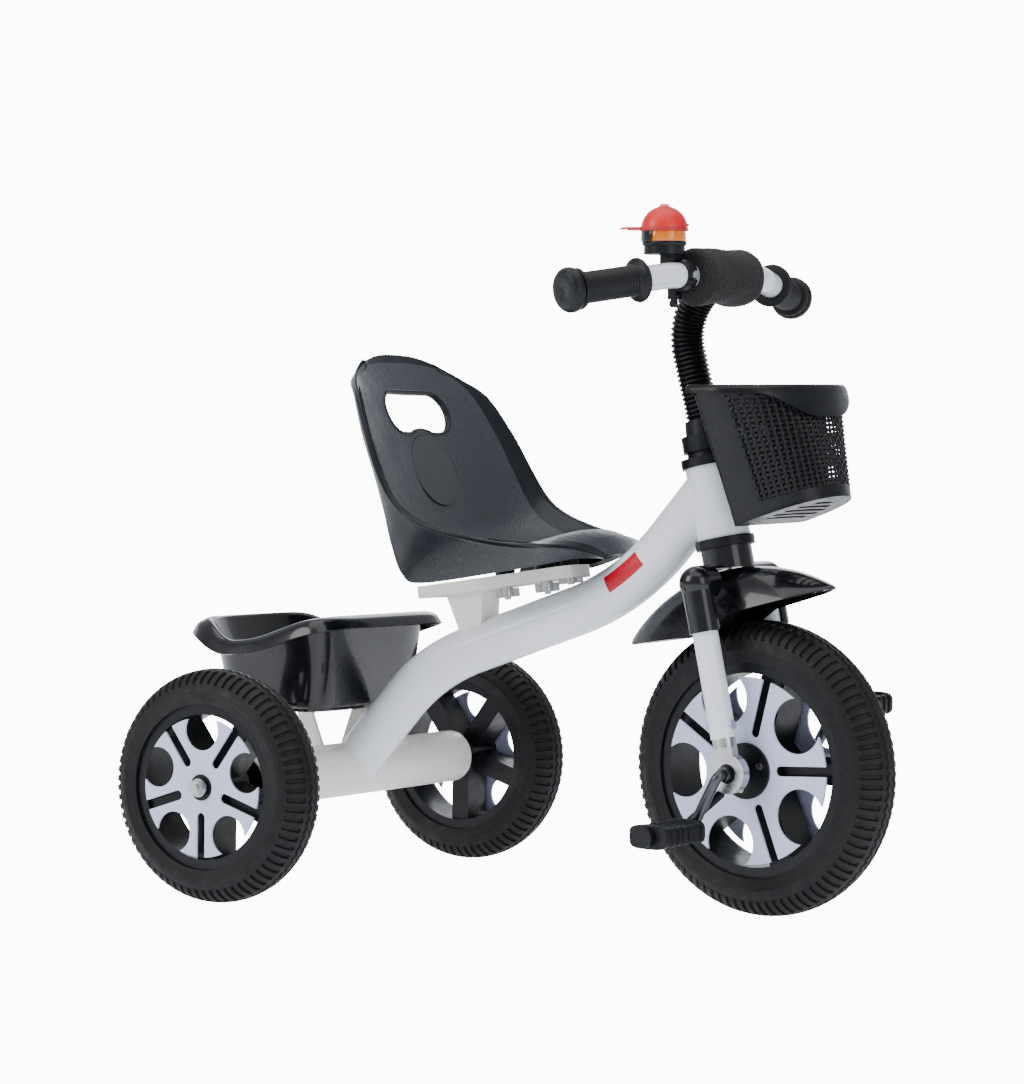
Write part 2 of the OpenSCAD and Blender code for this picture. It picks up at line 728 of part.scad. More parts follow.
module fork_leg(side) color(paint_white) at_fork() translate([0, side * leg_half, 0])
    difference() {
        translate([0, 0, leg_low]) cylinder(r = leg_r, h = leg_top - leg_low);
        translate([0, 0, leg_low - 1]) cylinder(r = leg_r - tube_wall, h = leg_top);
        translate([0, 0, rivet_up]) rotate([0, 90, 0]) cylinder(r = 2.5, h = 40, center = true);
    }

module fork_leg_right() fork_leg(-1);
module fork_leg_left() fork_leg(1);

// Dropout: a shank pressed into the leg and a round eye for the crank axle
module dropout(side) color(zinc) at_fork() translate([0, side * leg_half, 0]) difference() {
    union() {
        bar_y(eye_r, eye_t);
        translate([-9, -eye_t / 2, 0]) cube([18, eye_t, leg_low]);
        translate([0, 0, leg_low - 8]) cylinder(r = leg_r - tube_wall, h = 30);
    }
    bar_y(bush_r, 30);
    translate([0, 0, rivet_up]) rotate([0, 90, 0]) cylinder(r = 2.5, h = 40, center = true);
}

module dropout_right() dropout(-1);
module dropout_left() dropout(1);

// Flanged bushes in the eyes
module dropout_bushes() color(satin_black) at_fork() for (side = [-1, 1])
    translate([0, side * leg_half, 0]) difference() {
        union() {
            bar_y(bush_r, eye_t);
            translate([0, -side * (eye_t / 2 + 0.75), 0]) bar_y(12, 1.5);
        }
        bar_y(crank_axle_r + run_gap, 30);
    }

module fork_rivets() color(zinc) at_fork() for (side = [-1, 1])
    translate([0, side * leg_half, rivet_up]) rotate([0, 0, 90]) {
        bar_y(2.5, 2 * leg_r + 2);
        for (end = [-1, 1]) translate([0, end * (leg_r + 0.8), 0]) bar_y(4, 1.6);
    }

// ---- Mudguard ----

guard_back = -42;
guard_front = 36;
guard_rows = 14;
guard_cols = 5;

// Half width at angle a forward of the steering axis: full in the middle, narrow at the tips
function guard_half(a) =
    let (u = a < 0 ? a / guard_back : a / guard_front)
    3 + 31 * pow(1 - pow(u, 2.6), 0.6);

// Height of the guard's straight lower edge, which steps up in front of the fork
function guard_edge(a) =
    let (k = max(0, min(1, (a + 8) / 16)), u = a < 0 ? a / guard_back : a / guard_front)
    (1 - k) * (118 + 8 * u) + k * (133 + 5 * u);

// Point of the guard at angle a and fraction u of the half width
function guard_point(a, u) =
    let (low = min(guard_edge(a) / cos(a), guard_r - 2),
        r = low + (guard_r - low) * (1 - pow(abs(u), 2.3)))
    [r * sin(a), guard_half(a) * u, r * cos(a)];

module front_mudguard() color(satin_black) at_fork() difference() {
    shell([for (i = [0:guard_rows])
        let (a = guard_back + (guard_front - guard_back) * i / guard_rows)
        [for (k = [-guard_cols:guard_cols]) guard_point(a, k / guard_cols)]], -tub_t);
    cylinder(r = 2, h = 180);
}

module mudguard_screw() color(zinc) at_fork() translate([0, 0, guard_r - tub_t - 1.3])
    rotate([180, 0, 0]) screw(6, 2.5, 2, 6.3);

// ---- Front basket ----

basket_mid = 60;
basket_rim_up = 326;
basket_floor_up = 203.5 + tub_t;
basket_floor_rise = 7;
// Rings of the inner face from the floor up, over the rim and down the lip:
// [share of the height, reach forward, reach back, half width, rise, deeper in front]
basket_rings = [[0, 62, 13, 50, 0, 0], [0.5, 60.5, 13, 64, 0, 0], [1, 59, 13, 78, -2, 0],
    [1, 65, 18, 83, 0, 0], [1, 68, 19, 85, -7, -20]];
basket_steps = 48;

function basket_ring(q) = [for (k = [0:basket_steps - 1])
    let (a = 360 * k / basket_steps, p = oval(a, basket_mid, q[1], q[2], q[3], 2.2, 9),
        low = basket_floor_up + (p[0] - 47) * tan(basket_floor_rise),
        top = basket_rim_up - (p[0] - 41) * tan(rake),
        turn = min(a, 360 - a), part = max(0, min(1, (52 - turn) / 44)),
        wave = part * part * (3 - 2 * part))
    [p[0], p[1], low + (top - low) * q[0] + q[4] + q[5] * wave]];

module front_basket() color(satin_black) at_fork() difference() {
    shell([for (q = basket_rings) basket_ring(q)], -tub_t, true, true);
    for (side = [-1, 1]) translate([36, side * 18, 284]) rotate([0, 90, 0])
        cylinder(r = 2.5, h = 20);
}

// Band round the stem collar with an arm and a plate against the basket
module basket_bracket() color(satin_black) at_fork() difference() {
    union() {
        translate([0, 0, 277]) cylinder(r = 22, h = 14);
        translate([15, -9, 277]) cube([27, 18, 14]);
        translate([41.5, -28, 264]) cube([3, 56, 34]);
    }
    translate([0, 0, collar_up]) cylinder(r1 = 19.3, r2 = 16.5, h = collar_len);
    for (side = [-1, 1]) translate([36, side * 18, 284]) rotate([0, 90, 0])
        cylinder(r = 2.5, h = 20);
}

module basket_bolts() color(zinc) at_fork() for (side = [-1, 1])
    translate([47.1, side * 18, 284]) rotate([0, 90, 0]) {
        screw(5, 2.5, 2.5, 12);
        translate([0, 0, -9.1]) cylinder(r = 4.5, h = 3.5, $fn = 6);
    }

// ---- Front wheel ----

module front_tyre() color(tyre_black) at_fork() rotate([90, 0, 0])
    tyre(front_r, front_half_w, front_half_h, front_rim_r);

module front_rim() color(satin_black) at_spoke() rotate([90, 0, 0])
    rim(front_rim_r, 22, 24, front_hub_half, 20, front_hub_half, crank_axle_r, 24, 18);

module front_cover(side) color(cover_lilac) at_spoke() translate([0, side * front_hub_half, 0])
    rotate([side * -90, 0, 0]) cover(front_cover_r, 65, 23.5, 8.5, 30, crank_axle_r + 4);

module front_cover_right() front_cover(-1);
module front_cover_left() front_cover(1);

// Round plate that clamps the cover to the hub
module hub_plate(side) color(satin_black) at_crank() rotate([side * -90, 0, 0])
    translate([0, 0, front_hub_half + cover_t]) difference() {
        cylinder(r = 24, h = 2.5);
        translate([0, 0, -1]) cylinder(r = crank_axle_r, h = 5);
    }

module hub_plate_right() hub_plate(-1);
module hub_plate_left() hub_plate(1);

module hub_screws() color(zinc) at_crank() for (side = [-1, 1], k = [0:2])
    rotate([side * -90, 0, 0]) rotate([0, 0, 120 * k + hub_screw_turn])
        translate([16, 0, front_hub_half + cover_t + 2.5]) cylinder(r = 3, h = 1.5);

// Bent rod: axle, two arms and two pedal pins
module crank() color("#4A4C50") at_crank() {
    bar_y(crank_axle_r, 2 * axle_half);
    for (flip = [0, 180]) rotate([flip, 0, 0]) rotate([0, 0, 90]) translate([axle_half - eps, 0, 0])
        swept([[eps, 0, 0], [0, crank_bend, 90], [crank_len - 2 * crank_bend, 0, 0],
            [0, crank_bend, -90], [pedal_len + 5, 0, 0]], crank_rod_r);
}

// Pedal block with a bore for the pin and two tread bars
module pedal(side) color(satin_black) at_pedal(side) difference() {
    union() {
        cube([pedal_w - 12, pedal_len, pedal_t - 6], center = true);
        for (end = [-1, 1]) {
            translate([end * (pedal_w / 2 - 6), 0, 0]) cube([12, pedal_len, pedal_t], center = true);
            translate([0, end * (pedal_len / 2 - 3), 0]) cube([pedal_w, 6, pedal_t], center = true);
        }
    }
    bar_y(crank_rod_r + run_gap, pedal_len + 2);
}

module pedal_right() pedal(-1);
module pedal_left() pedal(1);

// Round cap on the end of each pedal pin
module pedal_caps() color(satin_black) at_crank() for (side = [-1, 1])
    translate([0, side * (pedal_out + 3.3), side * crank_len]) difference() {
        bar_y(8, 6);
        translate([0, -side * 2, 0]) bar_y(crank_rod_r, 7);
    }

// ---- Rear wheels ----

module rear_tyre(side) color(tyre_black) at_rear_wheel(side) rotate([90, 0, 0])
    tyre(rear_r, rear_half_w, rear_half_h, rear_rim_r);

module rear_tyre_right() rear_tyre(-1);
module rear_tyre_left() rear_tyre(1);

module rear_rim(side) color(satin_black) at_rear_wheel(side) rotate([0, 90, 0]) rotate([90, 0, 0])
    rim(rear_rim_r, 20, 18, rear_hub_half - cover_t, rear_boss_r, rear_hub_half,
        rear_axle_r + run_gap, 18, 16);

module rear_rim_right() rear_rim(-1);
module rear_rim_left() rear_rim(1);

// The outer cover stands on the hub; one slot points down
module rear_cover(side) color(cover_lilac) at_rear_wheel(side)
    translate([0, side * (rear_hub_half - cover_t), 0]) rotate([0, 90, 0])
    rotate([side * -90, 0, 0]) cover(rear_cover_r, 49.5, 17.5, 8.5, 22, rear_boss_r);

module rear_cover_right() rear_cover(-1);
module rear_cover_left() rear_cover(1);

// ---- Output ----

main_tube();
head_tube();
headset_cup_upper();
headset_cup_lower();
axle_tube();
axle_tube_plugs();
rear_axle();
rear_axle_nuts();
seat_post();
seat_channel();
seat_bolts();
seat_wing_nuts();
seat();
seat_disc();
rear_bucket();
bucket_bracket();
bucket_bolts();
steering_column();
stem_collar();
handlebar_stem();
stem_bellows();
handlebar();
handlebar_pad();
grip_right();
grip_left();
bell_clamp();
bell_body();
bell_cap();
bell_bolt();
bell_lever();
fork_crown();
fork_leg_right();
fork_leg_left();
dropout_right();
dropout_left();
dropout_bushes();
fork_rivets();
front_mudguard();
mudguard_screw();
front_basket();
basket_bracket();
basket_bolts();
front_tyre();
front_rim();
front_cover_right();
front_cover_left();
hub_plate_right();
hub_plate_left();
hub_screws();
crank();
pedal_right();
pedal_left();
pedal_caps();
rear_tyre_right();
rear_tyre_left();
rear_rim_right();
rear_rim_left();
rear_cover_right();
rear_cover_left();
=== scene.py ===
"""Children's tricycle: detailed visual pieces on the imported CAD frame."""

import math

import bmesh
import bpy
import numpy as np
from mathutils import Matrix, Vector


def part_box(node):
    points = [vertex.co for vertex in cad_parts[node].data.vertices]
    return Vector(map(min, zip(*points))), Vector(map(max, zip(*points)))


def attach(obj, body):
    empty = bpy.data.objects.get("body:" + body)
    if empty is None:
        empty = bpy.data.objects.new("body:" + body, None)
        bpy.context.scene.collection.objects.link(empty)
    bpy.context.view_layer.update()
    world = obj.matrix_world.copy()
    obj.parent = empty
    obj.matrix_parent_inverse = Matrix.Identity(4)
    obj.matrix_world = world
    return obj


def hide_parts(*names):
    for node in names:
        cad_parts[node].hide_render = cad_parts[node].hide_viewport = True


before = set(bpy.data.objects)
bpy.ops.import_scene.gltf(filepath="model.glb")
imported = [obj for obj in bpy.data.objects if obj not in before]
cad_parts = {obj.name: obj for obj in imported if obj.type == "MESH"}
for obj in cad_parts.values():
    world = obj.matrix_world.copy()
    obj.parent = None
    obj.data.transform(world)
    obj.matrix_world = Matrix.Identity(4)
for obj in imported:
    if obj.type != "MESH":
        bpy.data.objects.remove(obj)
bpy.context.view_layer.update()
MM = 0.001


# ---- Places, in millimetres ----


def turn(degrees, axis):
    return Matrix.Rotation(math.radians(degrees), 4, axis)


def move(x, y, z):
    return Matrix.Translation((x, y, z))


def middle(node):
    low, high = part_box(node)
    return (low + high) / 2 / MM


rear_mid = middle("rear_axle")
front_mid = middle("front_rim")
REAR = move(rear_mid.x, 0, 0)
HEAD = move(front_mid.x, 0, front_mid.z) @ turn(-12, "Y")
FORK = HEAD @ turn(-7, "Z")
BAR = FORK @ move(39, 0, 421)
CRANK = FORK @ turn(41.5, "Y")
BELL = BAR @ move(0, -52, 0) @ turn(12, "Y")
GONG = BELL @ move(-12, -8, 0)
CHANNEL = REAR @ move(87, 0, 262) @ turn(-8.5, "Y")
DISC = REAR @ move(88.5, 0, 378) @ turn(68.5, "Y")


def wheel_place(node, side):
    mid = middle(node)
    return move(mid.x, side * abs(mid.y), mid.z) @ turn(90, "X")


def grip_place(side):
    flip = Matrix.Scale(-1, 4, (0, 1, 0)) if side < 0 else Matrix.Identity(4)
    sweep = math.radians(20)
    start = move(60 + 40 * math.sin(sweep), 0, 40 * (1 - math.cos(sweep)))
    level = turn(-11, "Y") @ turn(90, "Z") @ turn(-90, "X")
    return BAR @ flip @ level @ start @ turn(-20, "Y") @ turn(90, "Y")


# ---- Materials ----


def linear(code):
    parts = [int(code[i : i + 2], 16) / 255 for i in (1, 3, 5)]
    return [c / 12.92 if c <= 0.04045 else ((c + 0.055) / 1.055) ** 2.4 for c in parts]


class Finish:
    """A procedural material: mottled colour, uneven roughness and layered bumps."""

    def __init__(self, name, colour, rough, tint=0.06, mottle=35, vary=0.06, **sockets):
        self.mat = bpy.data.materials.new(name)
        self.mat.use_nodes = True
        self.tree = self.mat.node_tree
        self.shader = self.tree.nodes["Principled BSDF"]
        self.coords = self.tree.nodes.new("ShaderNodeTexCoord").outputs["Object"]
        self.bump = None
        base = linear(colour)
        dark = [c * (1 - tint) for c in base] + [1]
        light = [min(1, c * (1 + tint)) for c in base] + [1]
        self.colour = self.mixed(self.noise(mottle, 4), dark, light)
        self.link(self.colour, self.shader.inputs["Base Color"])
        spread = self.ranged(self.noise(mottle * 4, 3), 0.3, 0.7, rough - vary, rough + vary)
        self.link(spread, self.shader.inputs["Roughness"])
        for socket, value in sockets.items():
            self.shader.inputs[socket.replace("_", " ")].default_value = value

    def link(self, a, b):
        self.tree.links.new(a, b)

    def noise(self, scale, detail=2.0):
        n = self.tree.nodes.new("ShaderNodeTexNoise")
        n.inputs["Scale"].default_value = scale
        n.inputs["Detail"].default_value = detail
        self.link(self.coords, n.inputs["Vector"])
        return n.outputs["Fac"]

    def cells(self, scale, feature="F1"):
        n = self.tree.nodes.new("ShaderNodeTexVoronoi")
        n.feature = feature
        n.inputs["Scale"].default_value = scale
        self.link(self.coords, n.inputs["Vector"])
        return n.outputs["Distance"]

    def bands(self, pitch, direction, rotate=(0, 0, 0)):
        m = self.tree.nodes.new("ShaderNodeMapping")
        m.inputs["Rotation"].default_value = rotate
        self.link(self.coords, m.inputs["Vector"])
        n = self.tree.nodes.new("ShaderNodeTexWave")
        n.bands_direction = direction
        n.inputs["Scale"].default_value = 2 * math.pi / (20 * pitch * MM)
        n.inputs["Distortion"].default_value = 0.4
        self.link(m.outputs["Vector"], n.inputs["Vector"])
        return n.outputs["Fac"]

    def ranged(self, value, a, b, c, d):
        n = self.tree.nodes.new("ShaderNodeMapRange")
        for i, v in enumerate((a, b, c, d)):
            n.inputs[i + 1].default_value = v
        self.link(value, n.inputs["Value"])
        return n.outputs["Result"]

    def mixed(self, factor, a, b):
        n = self.tree.nodes.new("ShaderNodeMix")
        n.data_type = "RGBA"
        self.link(factor, n.inputs[0])
        for socket, v in ((n.inputs[6], a), (n.inputs[7], b)):
            if isinstance(v, list):
                socket.default_value = v
            else:
                self.link(v, socket)
        return n.outputs[2]

    def dust(self, colour, scale, low, high, share=1.0):
        """A second colour where a broad noise is high."""
        where = self.ranged(self.noise(scale, 5), low, high, 0, share)
        self.colour = self.mixed(where, self.colour, linear(colour) + [1])
        self.link(self.colour, self.shader.inputs["Base Color"])
        return self

    def paint_crease_shade(self, value, low, high, colour):
        """Painted shade in creases and pores: a darker colour where value is low."""
        where = self.ranged(value, low, high, 0.0, 1.0)
        self.colour = self.mixed(where, linear(colour) + [1], self.colour)
        self.link(self.colour, self.shader.inputs["Base Color"])
        return self

    def raised(self, height, depth, strength=1.0):
        """Adds a bump of that depth in millimetres."""
        n = self.tree.nodes.new("ShaderNodeBump")
        n.inputs["Distance"].default_value = depth * MM
        n.inputs["Strength"].default_value = strength
        self.link(height, n.inputs["Height"])
        if self.bump:
            self.link(self.bump, n.inputs["Normal"])
        self.bump = n.outputs["Normal"]
        self.link(self.bump, self.shader.inputs["Normal"])
        return self


def orange_peel(f, scale=420, depth=0.05):
    return f.raised(f.noise(scale, 2), depth, 0.6)


# Reflection of the black plastics and rubbers, a little under the usual 0.5
DIM = 0.28

white_paint = orange_peel(Finish("white_paint", "#EFF3FB", 0.2, 0.02, 14, 0.05, Coat_Weight=0.6,
    Coat_Roughness=0.08)).mat
cream_paint = orange_peel(Finish("cream_paint", "#F5F2EC", 0.32, 0.025, 16, 0.06,
    Coat_Weight=0.25)).mat
lavender = orange_peel(Finish("lavender_cover", "#CDD2EE", 0.36, 0.03, 22, 0.07), 600, 0.04).mat
satin = orange_peel(Finish("satin_black", "#0E1014", 0.36, 0.12, 30, 0.07,
    Specular_IOR_Level=DIM), 700, 0.05).mat
gloss = orange_peel(Finish("gloss_black", "#090B10", 0.25, 0.1, 18, 0.05, Coat_Weight=0.5,
    Coat_Roughness=0.06, Specular_IOR_Level=DIM), 160, 0.05).mat
smooth_seat = orange_peel(Finish("seat_smooth", "#171C22", 0.3, 0.1, 20, 0.06,
    Specular_IOR_Level=DIM), 500, 0.05).mat
basket_black = orange_peel(Finish("basket_black", "#0D0F12", 0.34, 0.12, 40, 0.08,
    Specular_IOR_Level=DIM), 500, 0.06).mat

rubber_make = Finish("tyre_rubber", "#0D0E10", 0.55, 0.15, 30, 0.1, Specular_IOR_Level=DIM)
rubber_make.dust("#1B1A19", 9, 0.5, 0.75, 0.5)
rubber_make.raised(rubber_make.noise(900, 3), 0.08, 0.7)
rubber = rubber_make.mat

grain_make = Finish("seat_grain", "#3C424A", 0.42, 0.1, 14, 0.07)
pores = grain_make.cells(390, "SMOOTH_F1")
# Painted shade: the pores of the seat's grain are coloured darker (#2B3036).
grain_make.paint_crease_shade(pores, 0.12, 0.5, "#2B3036")
grain_make.colour = grain_make.mixed(grain_make.ranged(pores, 0.2, 0.6, 0, 0.55),
    grain_make.colour, linear("#262A30") + [1])
grain_make.link(grain_make.colour, grain_make.shader.inputs["Base Color"])
grain_make.raised(pores, -0.5, 0.8).raised(grain_make.noise(1500, 2), 0.08, 0.5)
seat_grain = grain_make.mat

disc_make = Finish("seat_disc_matt", "#36393D", 0.5, 0.06, 16, 0.05)
disc_matt = orange_peel(disc_make, 900, 0.06).mat

grip_make = Finish("grip_rubber", "#101215", 0.45, 0.12, 60, 0.08, Specular_IOR_Level=DIM)
grip_rubber = grip_make.raised(grip_make.noise(1100, 2), 0.08, 0.6).mat

hose_make = Finish("bellows_plastic", "#0B0C0F", 0.3, 0.12, 60, 0.08, Specular_IOR_Level=DIM)
hose = hose_make.raised(hose_make.noise(800, 2), 0.04, 0.6).mat

mesh_make = Finish("mesh_fabric", "#0D0D0F", 0.78, 0.2, 90, 0.08, Sheen_Weight=0.12,
    Sheen_Roughness=0.4)
ribs = mesh_make.bands(2.7, "Y", (0.0, 0.5, 0.75))
threads = mesh_make.bands(1.9, "Z", (0.55, 0.0, 0.35))
# Painted shade: near-black colour in the grooves between the pad's ribs.
mesh_make.paint_crease_shade(ribs, 0.1, 0.5, "#040405")
mesh_make.raised(ribs, 0.5, 0.6).raised(threads, 0.2, 0.4)
mesh_fabric = mesh_make.mat

zinc_make = Finish("zinc_plate", "#C4C5C6", 0.3, 0.12, 90, 0.1, Metallic=1.0)
zinc_make.dust("#8E8A80", 60, 0.5, 0.8, 0.5)
zinc = zinc_make.raised(zinc_make.noise(500, 3), 0.06, 0.6).mat
steel_make = Finish("dark_steel", "#55575C", 0.3, 0.15, 60, 0.08, Metallic=1.0)
dark_steel = steel_make.raised(steel_make.noise(600, 3), 0.05, 0.6).mat

amber_make = Finish("amber_plastic", "#E87600", 0.14, 0.12, 60, 0.04, Coat_Weight=0.5)
amber = amber_make.raised(amber_make.noise(300, 2), 0.04, 0.5).mat
red_make = Finish("red_plastic", "#DC0C14", 0.4, 0.06, 50, 0.06)
red = red_make.raised(red_make.noise(700, 2), 0.05, 0.6).mat
deep_red = orange_peel(Finish("deep_red", "#B3202A", 0.42, 0.06, 50, 0.05), 700, 0.05).mat
peach = orange_peel(Finish("peach_button", "#F2A071", 0.42, 0.06, 50, 0.05), 700, 0.05).mat
tag_red = orange_peel(Finish("tag_red", "#BC0A26", 0.3, 0.06, 60, 0.05), 900, 0.03).mat

PAINTED = {
    white_paint: ["main_tube", "head_tube", "handlebar", "handlebar_stem", "fork_leg_right",
        "fork_leg_left"],
    cream_paint: ["axle_tube", "seat_post", "seat_channel", "bucket_bracket"],
    satin: ["headset_cup_upper", "headset_cup_lower", "axle_tube_plugs", "stem_collar",
        "basket_bracket", "bell_clamp", "bell_lever", "dropout_bushes", "hub_plate_right",
        "hub_plate_left", "front_rim", "rear_rim_right", "rear_rim_left", "pedal_caps",
        "seat", "rear_bucket", "front_mudguard", "front_basket", "pedal_right", "pedal_left"],
    gloss: ["fork_crown"],
    lavender: ["front_cover_right", "front_cover_left", "rear_cover_right", "rear_cover_left"],
    zinc: ["rear_axle", "rear_axle_nuts", "seat_bolts", "seat_wing_nuts", "bucket_bolts",
        "steering_column", "bell_bolt", "dropout_right", "dropout_left", "fork_rivets",
        "mudguard_screw", "basket_bolts", "hub_screws"],
    dark_steel: ["crank"],
    disc_matt: ["seat_disc"],
    rubber: ["front_tyre", "rear_tyre_right", "rear_tyre_left"],
    amber: ["bell_body"],
    red: ["bell_cap"],
    grip_rubber: ["grip_right", "grip_left"],
    hose: ["stem_bellows"],
    mesh_fabric: ["handlebar_pad"],
}
for finish, names in PAINTED.items():
    for name in names:
        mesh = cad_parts[name].data
        mesh.materials.clear()
        mesh.materials.append(finish)

# ---- Mesh tools ----


def grid_faces(n, m, ring_n=False, ring_m=False, start=0):
    faces = []
    for i in range(n if ring_n else n - 1):
        for j in range(m if ring_m else m - 1):
            k, l = (i + 1) % n, (j + 1) % m
            faces.append((start + i * m + j, start + i * m + l, start + k * m + l,
                start + k * m + j))
    return faces


def piece(name, points, faces, place, body, mats, stands_for=(), sharp=38, pick=None):
    """A mesh piece from points in millimetres in a place's own frame."""
    m = np.array(place)
    p = np.asarray(points, float).reshape(-1, 3)
    p = (p @ m[:3, :3].T + m[:3, 3]) * MM
    mesh = bpy.data.meshes.new(name)
    mesh.from_pydata(p.tolist(), [], faces)
    for mat in mats if isinstance(mats, list) else [mats]:
        mesh.materials.append(mat)
    if pick is not None:
        mesh.polygons.foreach_set("material_index", pick)
    bm = bmesh.new()
    bm.from_mesh(mesh)
    bmesh.ops.remove_doubles(bm, verts=bm.verts, dist=2e-7)
    bmesh.ops.recalc_face_normals(bm, faces=bm.faces)
    bm.to_mesh(mesh)
    bm.free()
    mesh.shade_smooth()
    mesh.set_sharp_from_angle(angle=math.radians(sharp))
    ob = bpy.data.objects.new(name, mesh)
    bpy.context.scene.collection.objects.link(ob)
    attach(ob, body)
    if stands_for:
        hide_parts(*stands_for)
    return ob


def cut(ob, *cutters, sharp=38):
    """Takes closed cutter meshes away from a piece."""
    for c in cutters:
        mod = ob.modifiers.new("cut", "BOOLEAN")
        mod.operation = "DIFFERENCE"
        mod.solver = "EXACT"
        mod.object = c
    bpy.context.view_layer.update()
    made = bpy.data.meshes.new_from_object(
        ob.evaluated_get(bpy.context.evaluated_depsgraph_get()))
    ob.modifiers.clear()
    ob.data = made
    for c in cutters:
        bpy.data.objects.remove(c)
    made.shade_smooth()
    made.set_sharp_from_angle(angle=math.radians(sharp))


def cutter(points, faces, place):
    m = np.array(place)
    p = np.asarray(points, float).reshape(-1, 3)
    p = (p @ m[:3, :3].T + m[:3, 3]) * MM
    mesh = bpy.data.meshes.new("cutter")
    mesh.from_pydata(p.tolist(), [], faces)
    bm = bmesh.new()
    bm.from_mesh(mesh)
    bmesh.ops.recalc_face_normals(bm, faces=bm.faces)
    bm.to_mesh(mesh)
    bm.free()
    ob = bpy.data.objects.new("cutter", mesh)
    bpy.context.scene.collection.objects.link(ob)
    return ob


def prism(outline, low, high, place):
    """A cutter: an outline in XY between two heights."""
    n = len(outline)
    points = [(x, y, low) for x, y in outline] + [(x, y, high) for x, y in outline]
    faces = [(i, (i + 1) % n, n + (i + 1) % n, n + i) for i in range(n)]
    return cutter(points, faces + [tuple(range(n)), tuple(range(n, 2 * n))], place)


def revolve(profile, steps, closed=False):
    points = []
    for i in range(steps):
        a = 2 * math.pi * i / steps
        points += [(r * math.cos(a), r * math.sin(a), z) for r, z in profile]
    return points, grid_faces(steps, len(profile), True, closed)


def refine(grid, times, axis, ring=False):
    """A smooth curve through every point along one axis of a grid."""
    g = np.moveaxis(np.asarray(grid, float), axis, 0)
    n, out = len(g), []
    for i in range(n if ring else n - 1):
        near = [(i + k) % n if ring else min(max(i + k, 0), n - 1) for k in (-1, 0, 1, 2)]
        a, b, c, d = (g[k] for k in near)
        for k in range(times):
            t = k / times
            out.append(0.5 * (2 * b + (c - a) * t + (2 * a - 5 * b + 4 * c - d) * t * t
                + (3 * b - a - 3 * c + d) * t**3))
    if not ring:
        out.append(g[-1])
    return np.moveaxis(np.array(out), 0, axis)


def grid_normals(g, ring=False):
    up = np.gradient(g, axis=0)
    side = np.roll(g, -1, 1) - np.roll(g, 1, 1) if ring else np.gradient(g, axis=1)
    n = np.cross(up, side)
    return n / np.maximum(np.linalg.norm(n, axis=2, keepdims=True), 1e-9)


def shell(front, thick, ring=False):
    """Points and faces of a closed shell behind a grid."""
    n, m = front.shape[:2]
    back = front - thick * grid_normals(front, ring)
    faces = grid_faces(n, m, False, ring) + grid_faces(n, m, False, ring, n * m)
    for i in (0, n - 1):
        for j in range(m if ring else m - 1):
            a, b = i * m + j, i * m + (j + 1) % m
            faces.append((a, b, b + n * m, a + n * m))
    for j in () if ring else (0, m - 1):
        for i in range(n - 1):
            a, b = i * m + j, (i + 1) * m + j
            faces.append((a, b, b + n * m, a + n * m))
    return np.concatenate([front.reshape(-1, 3), back.reshape(-1, 3)]), faces


def bar(path, across, up, steps=8, closed=False):
    """A bar along a path of (point, side vector, up vector), with its half sizes across and up."""
    points = []
    for p, s, u in path:
        for k in range(steps):
            a = 2 * math.pi * k / steps
            points.append(Vector(p) + Vector(s) * across * math.cos(a)
                + Vector(u) * up * math.sin(a))
    faces = grid_faces(len(path), steps, closed, True)
    if not closed:
        faces += [tuple(range(steps)), tuple(range(len(points) - steps, len(points)))]
    return [tuple(v) for v in points], faces


def join(*parts):
    points, faces = [], []
    for p, f in parts:
        start = len(points)
        points += [tuple(v) for v in p]
        faces += [tuple(start + i for i in face) for face in f]
    return points, faces


def walk(steps, angle, spacing):
    """Points along straights and arcs in a plane: (x, z, angle)."""
    x = z = 0.0
    out = [(x, z, angle)]
    for length, bend, degrees in steps:
        total = length if bend == 0 else bend * math.radians(abs(degrees))
        count = max(1, round(total / spacing))
        for _ in range(count):
            step = total / count
            change = 0 if bend == 0 else math.copysign(step / bend, degrees)
            x += step * math.cos(angle + change / 2)
            z += step * math.sin(angle + change / 2)
            angle += change
            out.append((x, z, angle))
    return out


# ---- Tyres ----


def tyre(node, radius, half_w, half_h, bead, pitches, place, body):
    """A tyre with shoulder lugs and a zigzag pair of grooves, about the place's Z axis."""
    half = [0, 4, 6.5, 9.5, 12, 20, 22.5, 30, 40, 50, 58, 62, 66, 70, 73, 80, 86, 88, 90, 97]
    limit = math.degrees(math.acos((bead - radius + half_h) / half_h))
    half = [a for a in half if a < limit - 2] + [limit]
    angles = [-a for a in reversed(half[1:])] + half
    columns = [0, 0.08, 0.42, 0.5, 0.58, 0.92]
    points = []
    for k in range(pitches):
        for c, part in enumerate(columns):
            spin = 2 * math.pi * (k + part) / pitches
            swing = 3.2 * (4 * abs(part - 0.5) - 1)
            for a in angles:
                size = abs(a)
                near = 1 if size <= 12 else max(0, (20 - size) / 8)
                b = math.radians(a + swing * near)
                deep = 0.0
                if size in (6.5, 9.5):
                    deep = 1.5
                if 22 < size < 63 and c in ((1, 2) if a > 0 else (4, 5)):
                    deep = 1.9
                if size in (66, 70):
                    deep = 0.5
                if size in (86, 88):
                    deep = -0.5
                hh, hw = half_h - deep, half_w - deep
                r = radius - half_h + hh * math.cos(b)
                z = hw * math.copysign(abs(math.sin(b)) ** 0.95, math.sin(b))
                points.append((r * math.cos(spin), r * math.sin(spin), z))
    faces = grid_faces(pitches * len(columns), len(angles), True, True)
    return piece(node + "_treaded", points, faces, place, body, rubber, (node,), 30)


tyre("front_tyre", 127, 26.5, 25.5, 92, 88,
    FORK @ turn(90, "X"), "front_wheel")
tyre("rear_tyre_right", 102, 25, 21.5, 72, 72,
    wheel_place("rear_tyre_right", -1), "rear_wheel_right")
tyre("rear_tyre_left", 102, 25, 21.5, 72, 72,
    wheel_place("rear_tyre_left", 1), "rear_wheel_left")

# ---- Seat ----

